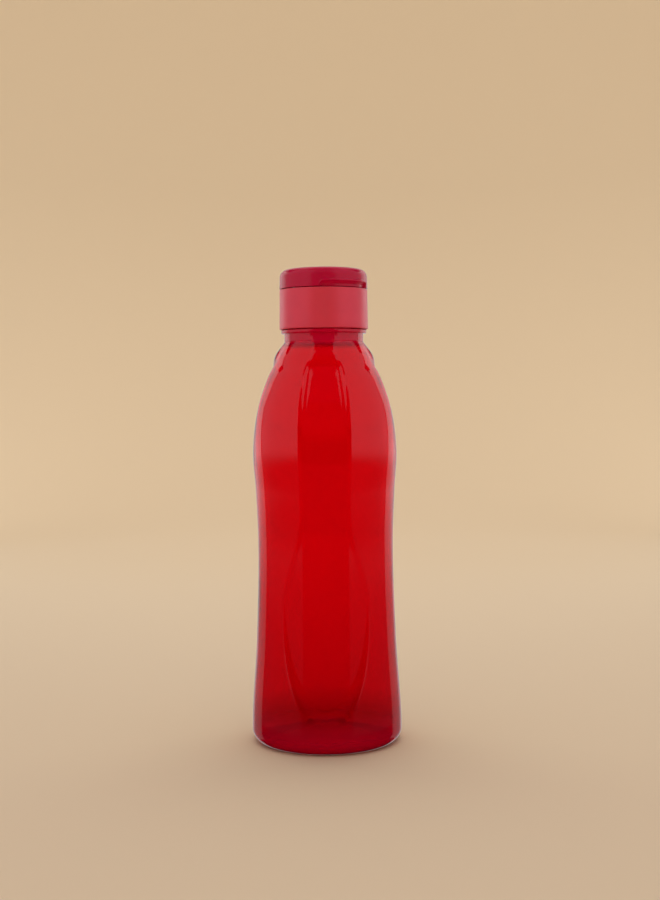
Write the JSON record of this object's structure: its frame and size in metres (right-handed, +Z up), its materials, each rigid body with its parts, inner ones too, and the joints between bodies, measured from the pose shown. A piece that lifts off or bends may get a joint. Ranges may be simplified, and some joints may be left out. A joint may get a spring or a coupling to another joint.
{
  "type": "water bottle",
  "caption": "Drinking bottle with a waisted, fluted body and a screw cap that has a hinged lid over a drinking spout.",
  "frame": {"origin": "centre of the base, on the surface that the bottle stands on", "axes": "+Z up along the bottle's axis, -Y towards the front panel, +X to the right when seen from the front"},
  "size_m": [0.084, 0.084, 0.265],
  "materials": {
    "bottle_plastic": "glossy, deep translucent red, blown",
    "core_plastic": "satin, moulded",
    "collar_plastic": "satin, moulded, lighter red",
    "lid_plastic": "satin gloss, moulded, dark red",
    "silicone": "matt, soft",
    "pin_steel": "plain drawn wire"
  },
  "bodies": {
    "bottle": {"bottle_body": "bottle_plastic"},
    "gasket": {"neck_gasket": "silicone"},
    "cap": {"cap_core": "core_plastic", "cap_collar": "collar_plastic", "drinking_spout": "core_plastic", "hinge_pin": "pin_steel"},
    "lid": {"flip_lid": "lid_plastic", "lid_seal": "silicone"}
  },
  "joints": [
    {"name": "cap_lift", "type": "slide", "parent": "bottle", "child": "gasket", "axis": [0, 0, 1], "range_m": [0, 0.006]},
    {"name": "cap_turn", "type": "hinge", "parent": "gasket", "child": "cap", "pos_m": [0, 0, 0.2496], "axis": [0, 0, 1], "range_deg": [0, 540]},
    {"name": "lid_flip", "type": "hinge", "parent": "cap", "child": "lid", "pos_m": [-0.01303, 0.01895, 0.2537], "axis": [-0.8241, -0.5664, 0], "range_deg": [0, 120]}
  ],
  "couplings": [
    {"joint": "cap_lift", "follows": "cap_turn", "m_per_rad": 0.00063662}
  ]
}
